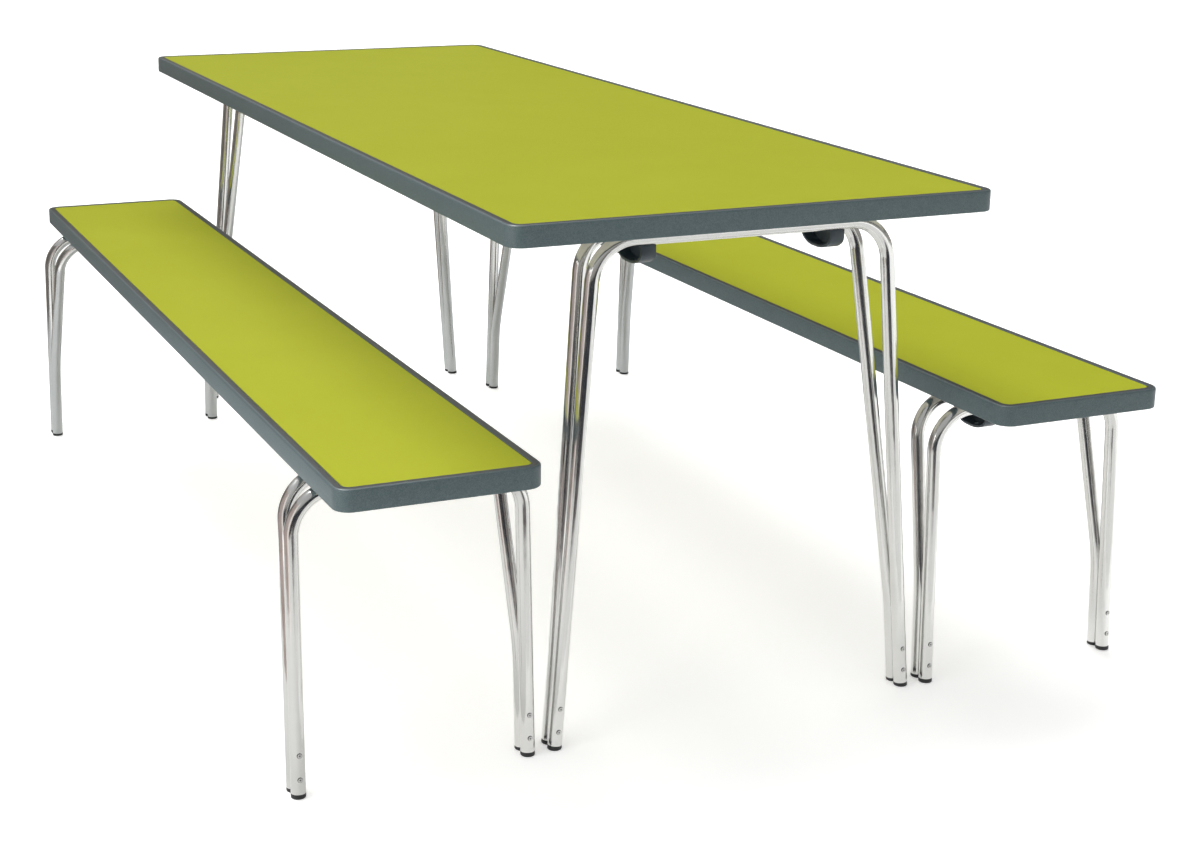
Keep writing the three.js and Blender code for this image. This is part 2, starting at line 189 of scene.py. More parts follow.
def smooth(piece, degrees=35):
    bpy.ops.object.select_all(action="DESELECT")
    piece.select_set(True)
    bpy.context.view_layer.objects.active = piece
    bpy.ops.object.shade_smooth_by_angle(angle=math.radians(degrees))


def put_on(piece, body, slot, *nodes):
    """Fixes a finished piece to its body and hides the solids that it stands for; the finish's name is not used."""
    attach(piece, body)
    if nodes:
        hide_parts(*nodes)


# Cast polyurethane: satin, with a fine spark-eroded grain and a faint unevenness of colour. The
# flat top of the lip is painted a plain darker grey without the pale grain, as painted shade
moulding, where = new_material("cast_polyurethane_edge")
cloud = add_node(moulding, "TexNoise", {"Vector": where, "Scale": per_mm(14), "Detail": 4})
# the grain is about 0.3 mm, drawn four times as coarse so that it shows
grain = add_node(moulding, "TexNoise", {"Vector": where, "Scale": per_mm(1.2), "Detail": 2})
tone = add_node(moulding, "MixRGB", {
    "Fac": cloud.outputs["Fac"], "Color1": linear("#3D4B4E"), "Color2": linear("#475659"),
})
fleck = add_node(moulding, "MapRange", {
    "Value": grain.outputs["Fac"], "From Min": 0.3, "From Max": 0.7, "To Min": 0.0, "To Max": 0.4,
})
grained = add_node(moulding, "MixRGB", {
    "Fac": fleck.outputs["Result"], "Color1": tone.outputs["Color"], "Color2": linear("#6E7B7D"),
})
# painted shade: the flat top of the lip is mixed to a plain darker grey
lip_shade_mask = add_node(moulding, "Attribute", attribute_name="trimmed_top").outputs["Fac"]
flat = add_node(moulding, "MapRange", {"Value": lip_shade_mask, "From Min": 0.85})
lip_shaded_tone = add_node(moulding, "MixRGB", {
    "Fac": flat.outputs["Result"], "Color1": grained.outputs["Color"], "Color2": linear("#343A3B"),
})
sheen = add_node(moulding, "MapRange", {"Value": grain.outputs["Fac"], "To Min": 0.36, "To Max": 0.5})
relief = add_node(moulding, "Bump", {"Height": grain.outputs["Fac"], "Distance": 0.05 * MM})
shader = add_node(moulding, "BsdfPrincipled", {
    "Base Color": lip_shaded_tone.outputs["Color"], "Roughness": sheen.outputs["Result"], "IOR": 1.5,
    "Specular IOR Level": 0.3, "Normal": relief.outputs["Normal"],
})
add_node(moulding, "OutputMaterial", {"Surface": shader.outputs["BSDF"]})

for unit in UNITS:
    low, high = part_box(unit + "_edge")
    middle = (low + high) / 2
    bpy.ops.object.select_all(action="DESELECT")
    bpy.ops.mesh.primitive_cube_add(size=1, location=middle)
    edging = bpy.context.object
    edging.name = edging.data.name = unit + "_edge_moulding"
    edging.scale = high - low
    apply_place(edging)
    edit(edging)
    pick(edging, "edges", lambda e: abs(e.verts[0].co.z - e.verts[1].co.z) > 1 * MM)
    bpy.ops.mesh.bevel(offset=CORNER_RADIUS, segments=12, affect="EDGES")
    pick(edging, "faces", lambda f: abs(f.normal.z) > 0.9)
    bpy.ops.mesh.inset(thickness=EDGE_LIP - EDGE_JOINT, use_even_offset=True)
    bpy.ops.mesh.bridge_edge_loops()

    def upright_side(edge):
        """The upright face beside a top or bottom edge, or nothing."""
        sides = [face for face in edge.link_faces if abs(face.normal.z) < 0.5]
        return sides[0] if len(sides) == 1 else None

    def rim(edge, outside, upper):
        """True for the edges of one of the frame's four rims."""
        side = upright_side(edge)
        if side is None:
            return False
        faces_out = side.normal.dot(side.calc_center_median() - middle) > 0
        return faces_out == outside and (edge.verts[0].co.z > middle.z) == upper

    for outside, upper, radius, steps in (
        (False, True, EDGE_INNER_ROUND, 2), (True, True, EDGE_UPPER_ROUND, 6), (True, False, EDGE_LOWER_ROUND, 4),
    ):
        pick(edging, "edges", lambda e: rim(e, outside, upper))
        bpy.ops.mesh.bevel(offset=radius, segments=steps, affect="EDGES")
    edit(edging, "OBJECT")
    # marks the flat top of the lip, where the material paints shade
    trimmed_top = edging.data.attributes.new("trimmed_top", "FLOAT", "POINT")
    for vertex, mark in zip(edging.data.vertices, trimmed_top.data):
        mark.value = vertex.co.z > high.z - 0.01 * MM
    smooth(edging)
    dress(edging, moulding)
    put_on(edging, TOP_BODIES[unit], "moulded_edge", unit + "_edge")

# Tube hoops
# Each leg frame is two hoops of bright 19 mm tube, drawn, bent and polished. The inner hoop's
# bar is the hinge, and both hoops run side by side from where they meet down to the foot.
TUBE_RADIUS = 9.5 * MM
TUBE_WALL = 1.5 * MM
TUBE_GAP = 0.3 * MM
HOOP_BEND_RADIUS = 57 * MM
MEETING_BEND_RADIUS = 300 * MM
BAR_SPACING = 62 * MM
INNER_HOOP_INSET = 11 * MM
CAP_SOLE = 6 * MM
FRAME_SIZES = {
    "table": {"bar_half": 210 * MM, "foot_half": 264 * MM, "foot_kick": 19 * MM, "meeting": 115 * MM},
    "bench": {"bar_half": 150 * MM, "foot_half": 153 * MM, "foot_kick": 20 * MM, "meeting": 138 * MM},
}
ENDS = ("near", "far")
HINGES = {joint["name"]: Vector(joint["pos_m"]) for joint in frame["joints"] if "pos_m" in joint}
FOOT_PITCH = 2 * TUBE_RADIUS + TUBE_GAP


def leg_lines(kind, side):
    """Lines of one leg seen from the hinge, +X towards the end of the top, side -1 or 1."""
    size = FRAME_SIZES[kind]
    hinge_height = HINGES["table_near_fold" if kind == "table" else "left_bench_near_fold"].z
    corner = Vector((BAR_SPACING, side * size["bar_half"], 0))
    floor = Vector((BAR_SPACING + size["foot_kick"], side * size["foot_half"], -hinge_height))
    up = (corner - floor).normalized()
    outward = (Vector((1, 0, 0)) - up * up.x).normalized()
    outer_end = floor + up * CAP_SOLE
    inner_end = outer_end - outward * FOOT_PITCH
    return {
        "corner": corner,
        "inner_corner": Vector((0, side * (size["bar_half"] - INNER_HOOP_INSET), 0)),
        "up": up,
        "outward": outward,
        "across": up.cross(outward),
        "outer_end": outer_end,
        "inner_end": inner_end,
        "meeting": inner_end + up * (size["meeting"] - CAP_SOLE) / up.z,
        "floor": floor,
    }


def bent_tube(name, corners, bends):
    """A tube that runs along its corners, with a bend of each radius and count of steps."""
    runs = [(b - a).normalized() for a, b in zip(corners, corners[1:])]
    bpy.ops.object.select_all(action="DESELECT")
    bpy.ops.mesh.primitive_circle_add(
        vertices=36, radius=TUBE_RADIUS, location=corners[0],
        rotation=runs[0].to_track_quat("Z", "X").to_euler(),
    )
    tube = bpy.context.object
    tube.name = tube.data.name = name
    apply_place(tube)
    edit(tube)
    bpy.ops.mesh.select_all(action="SELECT")
    here = corners[0]
    for corner, before, after, (radius, steps) in zip(corners[1:], runs, runs[1:], bends):
        turn = before.angle(after)
        start = corner - before * radius * math.tan(turn / 2)
        inward = (after - before * math.cos(turn)).normalized()
        bpy.ops.mesh.extrude_region_move(TRANSFORM_OT_translate={"value": start - here})
        # a positive spin turns clockwise about its axis
        bpy.ops.mesh.spin(
            steps=steps, angle=-turn, center=start + inward * radius, axis=before.cross(after).normalized(),
        )
        here = corner + after * radius * math.tan(turn / 2)
    bpy.ops.mesh.extrude_region_move(TRANSFORM_OT_translate={"value": corners[-1] - here})
    bpy.ops.mesh.select_all(action="SELECT")
    bpy.ops.mesh.remove_doubles(threshold=0.01 * MM)
    bpy.ops.mesh.normals_make_consistent(inside=False)
    edit(tube, "OBJECT")
    radial = tube.data.attributes.new("round_the_tube", "FLOAT_VECTOR", "POINT")
    for vertex, mark in zip(tube.data.vertices, radial.data):
        mark.vector = vertex.normal
    wall = tube.modifiers.new("wall", "SOLIDIFY")
    wall.thickness = TUBE_WALL
    wall.offset = -1
    bpy.ops.object.modifier_apply(modifier=wall.name)
    smooth(tube)
    return tube


def place_copy(master, name, place):
    """A copy of a modelled piece, with a mesh of its own that is put in its place."""
    piece = master.copy()
    piece.data = master.data.copy()
    piece.data.transform(place)
    piece.name = piece.data.name = name
    bpy.context.scene.collection.objects.link(piece)
    return piece


def frame_place(unit, end):
    """Where a leg frame's hinge lies, and which way the frame faces."""
    facing = Matrix.Rotation(math.pi if end == "far" else 0, 4, "Z")
    return Matrix.Translation(HINGES[f"{unit}_{end}_fold"]) @ facing


def kind_of(unit):
    return "table" if unit == "table" else "bench"


# Polished drawn aluminium: a bright mirror, softened by fine lengthwise die lines and hazed
# here and there by handling, with a slight waviness that bends the reflections
aluminium, where = new_material("polished_drawn_aluminium")
around = add_node(aluminium, "Attribute", attribute_name="round_the_tube").outputs["Vector"]
# die lines are about 0.1 mm apart, drawn ten times as coarse so that they show
lines = add_node(aluminium, "TexNoise", {"Vector": around, "Scale": TUBE_RADIUS * per_mm(1), "Detail": 2})
haze = add_node(aluminium, "TexNoise", {"Vector": where, "Scale": per_mm(60), "Detail": 4})
waves = add_node(aluminium, "TexNoise", {"Vector": where, "Scale": per_mm(35), "Detail": 1})
mixed = add_node(aluminium, "Math", {0: lines.outputs["Fac"], 1: haze.outputs["Fac"]}, operation="MULTIPLY")
sheen = add_node(aluminium, "MapRange", {
    "Value": mixed.outputs["Value"], "From Min": 0.1, "From Max": 0.5, "To Min": 0.1, "To Max": 0.26,
})
tone = add_node(aluminium, "MixRGB", {
    "Fac": haze.outputs["Fac"], "Color1": linear("#CCCCCA"), "Color2": linear("#DEDEDC"),
})
ripple = add_node(aluminium, "Bump", {"Height": waves.outputs["Fac"], "Distance": 0.4 * MM})
shader = add_node(aluminium, "BsdfPrincipled", {
    "Base Color": tone.outputs["Color"], "Metallic": 1.0, "Roughness": sheen.outputs["Result"],
    "Normal": ripple.outputs["Normal"],
})
add_node(aluminium, "OutputMaterial", {"Surface": shader.outputs["BSDF"]})

for kind, units in (("table", UNITS[:1]), ("bench", UNITS[1:])):
    left, right = leg_lines(kind, -1), leg_lines(kind, 1)
    hoop_bend, meeting_bend = (HOOP_BEND_RADIUS, 20), (MEETING_BEND_RADIUS, 5)
    outer = bent_tube(
        "outer_hoop_master",
        [left["outer_end"], left["corner"], right["corner"], right["outer_end"]],
        [hoop_bend, hoop_bend],
    )
    inner = bent_tube(
        "inner_hoop_master",
        [
            left["inner_end"], left["meeting"], left["inner_corner"],
            right["inner_corner"], right["meeting"], right["inner_end"],
        ],
        [meeting_bend, hoop_bend, hoop_bend, meeting_bend],
    )
    for hoop, word in ((outer, "outer"), (inner, "inner")):
        dress(hoop, aluminium)
        for unit in units:
            for end in ENDS:
                tube = place_copy(hoop, f"{unit}_{end}_{word}_tube", frame_place(unit, end))
                put_on(tube, f"{unit}_{end}_legs", "aluminium_tube", f"{unit}_{end}_{word}_hoop")
        bpy.data.objects.remove(hoop)

# Foot caps
# Twin plugs moulded in black plastic: a figure-eight sole that stands level on the floor, and
# a stem pushed up into each of the two tubes of the foot.
CAP_OVERHANG = 0.05 * MM
CAP_SEAT_GAP = 0.2 * MM
CAP_WEB = 10 * MM
CAP_STEM_LENGTH = 16 * MM
CAP_STEM_CLEARANCE = 0.3 * MM
CAP_SOLE_ROUND = 1.4 * MM
CAP_RIM_ROUND = 0.6 * MM
HANDS = {("near", -1): "left", ("near", 1): "right", ("far", -1): "right", ("far", 1): "left"}


def cut(piece, tool, operation):
    """Joins or cuts a piece with a second one, which is used up."""
    bpy.ops.object.select_all(action="DESELECT")
    piece.select_set(True)
    bpy.context.view_layer.objects.active = piece
    step = piece.modifiers.new("cut", "BOOLEAN")
    step.operation = operation
    step.object = tool
    step.solver = "EXACT"
    bpy.ops.object.modifier_apply(modifier=step.name)
    bpy.data.objects.remove(tool)


def add_block(size, middle):
    """A box of a size about its middle, its place in its mesh."""
    bpy.ops.object.select_all(action="DESELECT")
    bpy.ops.mesh.primitive_cube_add(size=1, location=middle)
    block = bpy.context.object
    block.scale = size
    apply_place(block)
    return block


# Moulded polyethylene: black and slightly waxy, scuffed grey where it meets the floor
cap_plastic, where = new_material("moulded_black_polyethylene")
scuffs = add_node(cap_plastic, "TexNoise", {"Vector": where, "Scale": per_mm(5), "Detail": 5})
height = add_node(cap_plastic, "SeparateXYZ", {"Vector": where}).outputs["Z"]
low_down = add_node(cap_plastic, "MapRange", {"Value": height, "From Max": 2.5 * MM, "To Min": 0.5, "To Max": 0.0})
worn = add_node(cap_plastic, "Math", {0: scuffs.outputs["Fac"], 1: low_down.outputs["Result"]}, operation="MULTIPLY")
tone = add_node(cap_plastic, "MixRGB", {
    "Fac": worn.outputs["Value"], "Color1": linear("#161719"), "Color2": linear("#4A4A48"),
})
relief = add_node(cap_plastic, "Bump", {"Height": scuffs.outputs["Fac"], "Distance": 0.05 * MM})
shader = add_node(cap_plastic, "BsdfPrincipled", {
    "Base Color": tone.outputs["Color"], "Roughness": 0.48, "IOR": 1.51, "Normal": relief.outputs["Normal"],
})
add_node(cap_plastic, "OutputMaterial", {"Surface": shader.outputs["BSDF"]})

for kind, units in (("table", UNITS[:1]), ("bench", UNITS[1:])):
    for side in (-1, 1):
        leg = leg_lines(kind, side)
        plugs = []
        for across in (FOOT_PITCH / 2, -FOOT_PITCH / 2):
            bpy.ops.object.select_all(action="DESELECT")
            bpy.ops.mesh.primitive_cylinder_add(
                vertices=48, radius=TUBE_RADIUS + CAP_OVERHANG, depth=2 * CAP_SOLE,
                location=(across, 0, -CAP_SOLE - CAP_SEAT_GAP),
            )
            plug = bpy.context.object
            apply_place(plug)
            edit(plug)
            pick(plug, "edges", lambda e: min(v.co.z for v in e.verts) > -CAP_SOLE)
            bpy.ops.mesh.bevel(offset=CAP_RIM_ROUND, segments=3, affect="EDGES")
            pick(plug, "faces", lambda f: f.normal.z > 0.99)
            bpy.ops.mesh.inset(thickness=CAP_OVERHANG + TUBE_WALL + CAP_STEM_CLEARANCE - CAP_RIM_ROUND)
            bpy.ops.mesh.extrude_region_move(TRANSFORM_OT_translate={"value": (0, 0, CAP_STEM_LENGTH)})
            pick(plug, "edges", lambda e: min(v.co.z for v in e.verts) > CAP_STEM_LENGTH / 2)
            bpy.ops.mesh.bevel(offset=1 * MM, segments=2, affect="EDGES")
            edit(plug, "OBJECT")
            plugs.append(plug)
        cap, second = plugs
        cut(cap, second, "UNION")
        cut(cap, add_block((FOOT_PITCH, CAP_WEB, 2 * CAP_SOLE), (0, 0, -CAP_SOLE - CAP_SEAT_GAP)), "UNION")
        middle = (leg["outer_end"] + leg["inner_end"]) / 2
        turn = Matrix((leg["outward"], leg["across"], leg["up"])).transposed()
        cap.matrix_world = Matrix.Translation(middle) @ turn.to_4x4()
        apply_place(cap)
        ground = leg["floor"].z
        edit(cap)
        bpy.ops.mesh.select_all(action="SELECT")
        bpy.ops.mesh.bisect(
            plane_co=(0, 0, ground), plane_no=(0, 0, 1), use_fill=True, clear_inner=True,
        )
        pick(cap, "edges", lambda e: max(v.co.z for v in e.verts) < ground + 0.01 * MM)
        bpy.ops.mesh.bevel(offset=CAP_SOLE_ROUND, segments=4, affect="EDGES")
        edit(cap, "OBJECT")
        smooth(cap)
        dress(cap, cap_plastic)
        for unit in units:
            for end in ENDS:
                foot = f"{unit}_{end}_{HANDS[end, side]}"
                plug = place_copy(cap, foot + "_twin_plug", frame_place(unit, end))
                put_on(plug, f"{unit}_{end}_legs", "foot_plastic", foot + "_foot_cap")
        bpy.data.objects.remove(cap)

# Foot rivets
# Two blind rivets at each foot, pulled tight through both tubes so that the hoops stay
# together. A low domed head shows on the outer tube, with the broken pin in its middle.
RIVET_HEAD_RADIUS = 3.3 * MM
RIVET_HEAD_HEIGHT = 1.1 * MM
RIVET_SINK = 0.6 * MM
RIVET_HOLE_RADIUS = 1.4 * MM
RIVET_HOLE_DEPTH = 0.7 * MM
RIVET_HEIGHTS = (25.5 * MM, 57 * MM)

# Plain aluminium alloy: duller than the tube and faintly grimy all over, with painted shade in the
# hole where the pin broke off and all round the rim
rivet_metal, where = new_material("plain_aluminium_rivet")
grime = add_node(rivet_metal, "TexNoise", {"Vector": where, "Scale": per_mm(1.5), "Detail": 3})
out = add_node(rivet_metal, "Attribute", attribute_name="out_from_pin").outputs["Fac"]
tone = add_node(rivet_metal, "MixRGB", {
    "Fac": grime.outputs["Fac"], "Color1": linear("#C4C4C2"), "Color2": linear("#E6E6E4"),
})
# painted shade: the rounded rim of the head and the hole round the pin are mixed towards dark grey
rim = add_node(rivet_metal, "MapRange", {"Value": out, "From Min": 2.5 * MM, "From Max": 3.1 * MM})
hole = add_node(rivet_metal, "MapRange", {
    "Value": out, "From Min": 1.5 * MM, "From Max": 1.1 * MM, "To Max": 0.75,
})
dark = add_node(rivet_metal, "Math", {0: rim.outputs["Result"], 1: hole.outputs["Result"]}, operation="MAXIMUM")
shaded_rivet_tone = add_node(rivet_metal, "MixRGB", {
    "Fac": dark.outputs["Value"], "Color1": tone.outputs["Color"], "Color2": linear("#2E2E2D"),
})
sheen = add_node(rivet_metal, "MapRange", {"Value": grime.outputs["Fac"], "To Min": 0.25, "To Max": 0.45})
shader = add_node(rivet_metal, "BsdfPrincipled", {
    "Base Color": shaded_rivet_tone.outputs["Color"], "Metallic": 1.0, "Roughness": sheen.outputs["Result"],
})
add_node(rivet_metal, "OutputMaterial", {"Surface": shader.outputs["BSDF"]})

bpy.ops.object.select_all(action="DESELECT")
head_depth = RIVET_HEAD_HEIGHT + RIVET_SINK
bpy.ops.mesh.primitive_cylinder_add(
    vertices=28, radius=RIVET_HEAD_RADIUS, depth=head_depth,
    location=(0, 0, RIVET_HEAD_HEIGHT - head_depth / 2),
)
rivet = bpy.context.object
apply_place(rivet)
edit(rivet)
pick(rivet, "edges", lambda e: min(v.co.z for v in e.verts) > 0)
bpy.ops.mesh.bevel(offset=0.8 * MM, segments=4, affect="EDGES")
pick(rivet, "faces", lambda f: f.normal.z > 0.99)
bpy.ops.mesh.inset(thickness=RIVET_HEAD_RADIUS - 0.8 * MM - RIVET_HOLE_RADIUS)
bpy.ops.mesh.extrude_region_move(TRANSFORM_OT_translate={"value": (0, 0, -RIVET_HOLE_DEPTH)})
bpy.ops.mesh.inset(thickness=0.3 * MM)
bpy.ops.mesh.extrude_region_move(TRANSFORM_OT_translate={"value": (0, 0, 0.4 * MM)})
edit(rivet, "OBJECT")
out_from_pin = rivet.data.attributes.new("out_from_pin", "FLOAT", "POINT")
for vertex, mark in zip(rivet.data.vertices, out_from_pin.data):
    mark.value = vertex.co.xy.length
smooth(rivet)
dress(rivet, rivet_metal)
for unit in UNITS:
    for end in ENDS:
        for side in (-1, 1):
            leg = leg_lines(kind_of(unit), side)
            turn = Matrix((leg["across"], leg["up"], leg["outward"])).transposed().to_4x4()
            for word, height in zip(("lower", "upper"), RIVET_HEIGHTS):
                seat = leg["floor"] + leg["up"] * height / leg["up"].z + leg["outward"] * TUBE_RADIUS
                place = frame_place(unit, end) @ Matrix.Translation(seat) @ turn
                head = place_copy(rivet, f"{unit}_{end}_{HANDS[end, side]}_{word}_rivet", place)
                put_on(head, f"{unit}_{end}_legs", "aluminium_tube")
bpy.data.objects.remove(rivet)

# Hinge cams
# Hollow blocks moulded in dark grey plastic and screwed under the board, four to each top.
# A notch in the top of each carries the inner bar, and the outer bar springs in above the lip
# at its outer end.
CAM_THICKNESS = 20 * MM
CAM_WALL = 3.5 * MM
CAM_TOP = 16.8 * MM
CAM_DEPTH = 38 * MM
CAM_TOE_LENGTH = 33 * MM
CAM_TOE_HEIGHT = 22 * MM
CAM_LIP = 64 * MM
CAM_LIP_LENGTH = 36 * MM
CAM_LIP_HEIGHT = 18 * MM
NOTCH_RADIUS = TUBE_RADIUS + 0.4 * MM
CAM_HEEL = NOTCH_RADIUS + CAM_WALL
SCREW_PLACE = 29.7 * MM
SCREW_HOLE_RADIUS = 2.3 * MM
DRIVER_HOLE_RADIUS = 4.3 * MM


def add_rod(radius, length, middle, turn=(0, 0, 0), sides=64):
    """A round bar about its middle, its place in its mesh."""
    bpy.ops.object.select_all(action="DESELECT")
    bpy.ops.mesh.primitive_cylinder_add(
        vertices=sides, radius=radius, depth=length, location=middle, rotation=turn,
    )
    rod = bpy.context.object
    apply_place(rod)
    return rod


def cam_block(wall, thickness, middle_y):
    """The cam's side shape, a wall inside its outline, as a block of a thickness."""
    low, high = Vector((wall - CAM_HEEL, 0, wall - CAM_DEPTH)), Vector((CAM_LIP - wall, 0, CAM_TOP - wall))
    middle = (low + high) / 2
    block = add_block((high.x - low.x, thickness, high.z - low.z), (middle.x, middle_y, middle.z))
    edit(block)

    # each lower end is longer than it is high, so it is rounded while the block is squeezed
    for x, length, height in ((low.x, CAM_TOE_LENGTH, CAM_TOE_HEIGHT), (high.x, CAM_LIP_LENGTH, CAM_LIP_HEIGHT)):
        squeeze = (height - wall) / (length - wall)
        bpy.ops.mesh.select_all(action="SELECT")
        bpy.ops.transform.resize(value=(squeeze, 1, 1), center_override=(0, 0, 0))
        corner = Vector((x * squeeze, 0, low.z))
        pick(block, "edges", lambda e: all((v.co - corner).xz.length < 0.05 * MM for v in e.verts))
        bpy.ops.mesh.bevel(offset=height - wall, segments=16, affect="EDGES")
        bpy.ops.mesh.select_all(action="SELECT")
        bpy.ops.transform.resize(value=(1 / squeeze, 1, 1), center_override=(0, 0, 0))
    edit(block, "OBJECT")
    return block


def clear_bars(block, wall):
    """Cuts the notch for the inner bar and the seat of the outer one, with a wall left round them."""
    radius, width = NOTCH_RADIUS + wall, 2 * CAM_THICKNESS
    for x, reach in ((0, radius), (BAR_SPACING, CAM_LIP)):
        cut(block, add_rod(radius, width, (x, 0, 0), (math.pi / 2, 0, 0)), "DIFFERENCE")
        cut(block, add_block((radius + reach, width, 2 * CAM_TOP), (x + (reach - radius) / 2, 0, CAM_TOP)), "DIFFERENCE")


# Moulded nylon: dark blue-grey, satin, with a fine grain from the mould
cam_plastic, where = new_material("moulded_grey_nylon")
grain = add_node(cam_plastic, "TexNoise", {"Vector": where, "Scale": per_mm(1.2), "Detail": 2})
cloud = add_node(cam_plastic, "TexNoise", {"Vector": where, "Scale": per_mm(12), "Detail": 3})
tone = add_node(cam_plastic, "MixRGB", {
    "Fac": cloud.outputs["Fac"], "Color1": linear("#202B31"), "Color2": linear("#2E3A42"),
})
relief = add_node(cam_plastic, "Bump", {"Height": grain.outputs["Fac"], "Distance": 0.05 * MM})
shader = add_node(cam_plastic, "BsdfPrincipled", {
    "Base Color": tone.outputs["Color"], "Roughness": 0.42, "IOR": 1.53, "Normal": relief.outputs["Normal"],
})
add_node(cam_plastic, "OutputMaterial", {"Surface": shader.outputs["BSDF"]})

cam = cam_block(0, CAM_THICKNESS, 0)
cam.name = cam.data.name = "hinge_cam_master"
hollow = cam_block(CAM_WALL, CAM_THICKNESS, -CAM_WALL)
clear_bars(hollow, CAM_WALL)
cut(cam, hollow, "DIFFERENCE")
clear_bars(cam, 0)
cut(cam, add_rod(SCREW_HOLE_RADIUS, 2 * CAM_TOP, (SCREW_PLACE, 0, CAM_TOP), sides=24), "DIFFERENCE")
cut(cam, add_rod(DRIVER_HOLE_RADIUS, 2 * CAM_DEPTH, (SCREW_PLACE, 0, -CAM_DEPTH), sides=32), "DIFFERENCE")
# the cuts leave slivers that would hold the rounding back, so they are merged first
edit(cam)
bpy.ops.mesh.select_all(action="SELECT")
bpy.ops.mesh.remove_doubles(threshold=0.3 * MM)
bpy.ops.mesh.dissolve_limited(angle_limit=math.radians(1))
edit(cam, "OBJECT")
rounding = cam.modifiers.new("rounding", "BEVEL")
rounding.width = 0.5 * MM
rounding.segments = 2
rounding.limit_method = "ANGLE"
rounding.angle_limit = math.radians(40)
bpy.context.view_layer.objects.active = cam
bpy.ops.object.modifier_apply(modifier=rounding.name)
smooth(cam)
dress(cam, cam_plastic)
for unit in UNITS:
    for end in ENDS:
        for hand in ("left", "right"):
            node = f"{unit}_{end}_{hand}_cam"
            low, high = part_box(node)
            place = frame_place(unit, end)
            place.translation.y = (low.y + high.y) / 2
            block = place_copy(cam, f"{unit}_{end}_{hand}_hinge_cam", place)
            put_on(block, TOP_BODIES[unit], "cam_plastic", node)
bpy.data.objects.remove(cam)

# Cam screws
# One zinc-plated pan-head screw up through the roof of each cam into the board, driven through
# the hole in the cam's floor.
SCREW_HEAD_RADIUS = 4 * MM
SCREW_HEAD_HEIGHT = 2.4 * MM
SCREW_SHANK_RADIUS = 2 * MM
SCREW_LENGTH = 18 * MM
SCREW_POINT_LENGTH = 4 * MM
RECESS_LENGTH = 4.2 * MM
RECESS_WIDTH = 1 * MM
RECESS_DEPTH = 1.3 * MM

# Bright zinc plate: a pale bluish metal, a little cloudy from the passivation
zinc, where = new_material("bright_zinc_plate")
cloud = add_node(zinc, "TexNoise", {"Vector": where, "Scale": per_mm(2.5), "Detail": 3})
tone = add_node(zinc, "MixRGB", {
    "Fac": cloud.outputs["Fac"], "Color1": linear("#A9ADB2"), "Color2": linear("#C6C6BE"),
})
sheen = add_node(zinc, "MapRange", {"Value": cloud.outputs["Fac"], "To Min": 0.22, "To Max": 0.42})
shader = add_node(zinc, "BsdfPrincipled", {
    "Base Color": tone.outputs["Color"], "Metallic": 1.0, "Roughness": sheen.outputs["Result"],
})
add_node(zinc, "OutputMaterial", {"Surface": shader.outputs["BSDF"]})

screw = add_rod(SCREW_HEAD_RADIUS, SCREW_HEAD_HEIGHT, (0, 0, -SCREW_HEAD_HEIGHT / 2), sides=32)
screw.name = screw.data.name = "cam_screw_master"
edit(screw)
pick(screw, "edges", lambda e: max(v.co.z for v in e.verts) < -SCREW_HEAD_HEIGHT / 2)
bpy.ops.mesh.bevel(offset=1.2 * MM, segments=4, affect="EDGES")
pick(screw, "faces", lambda f: f.normal.z > 0.9)
bpy.ops.mesh.inset(thickness=SCREW_HEAD_RADIUS - SCREW_SHANK_RADIUS)
bpy.ops.mesh.extrude_region_move(
    TRANSFORM_OT_translate={"value": (0, 0, SCREW_LENGTH - SCREW_POINT_LENGTH)},
)
bpy.ops.mesh.extrude_region_move(TRANSFORM_OT_translate={"value": (0, 0, SCREW_POINT_LENGTH)})
bpy.ops.mesh.merge(type="CENTER")
edit(screw, "OBJECT")
for size in ((RECESS_LENGTH, RECESS_WIDTH, RECESS_DEPTH), (RECESS_WIDTH, RECESS_LENGTH, RECESS_DEPTH)):
    cut(screw, add_block(size, (0, 0, RECESS_DEPTH / 2 - SCREW_HEAD_HEIGHT - 0.1 * MM)), "DIFFERENCE")
smooth(screw)
dress(screw, zinc)
for unit in UNITS:
    for end in ENDS:
        for hand in ("left", "right"):
            node = f"{unit}_{end}_{hand}_cam_screw"
            low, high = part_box(node)
            seat = Vector(((low.x + high.x) / 2, (low.y + high.y) / 2, low.z + SCREW_HEAD_HEIGHT))
            pan = place_copy(screw, f"{unit}_{end}_{hand}_pan_screw", Matrix.Translation(seat))
            put_on(pan, TOP_BODIES[unit], "zinc_screw", node)
bpy.data.objects.remove(screw)

# Studio
# A wide pale floor under soft, even light from above, with a softbox low on the left. Dark flags
# that only reflections see stand in front, as beyond the edge of a photographer's white sweep.
FLOOR_HALF = 40.0
BACKDROP_HEIGHT = 40.0

# Matt white floor paint, lit a little from within so that shadows on it stay faint
floor_paint, where = new_material("matt_white_floor_paint")
cloud = add_node(floor_paint, "TexNoise", {"Vector": where, "Scale": per_mm(400), "Detail": 3})
tone = add_node(floor_paint, "MixRGB", {
    "Fac": cloud.outputs["Fac"], "Color1": linear("#F4F4F3"), "Color2": linear("#F8F8F7"),
})
shader = add_node(floor_paint, "BsdfPrincipled", {
    "Base Color": tone.outputs["Color"], "Roughness": 0.8,
    "Emission Color": linear("#FFFFFF"), "Emission Strength": 0.42,
})
add_node(floor_paint, "OutputMaterial", {"Surface": shader.outputs["BSDF"]})
bpy.ops.object.select_all(action="DESELECT")
bpy.ops.mesh.primitive_plane_add(size=2 * FLOOR_HALF)
floor = bpy.context.object
floor.name = "floor"
dress(floor, floor_paint)

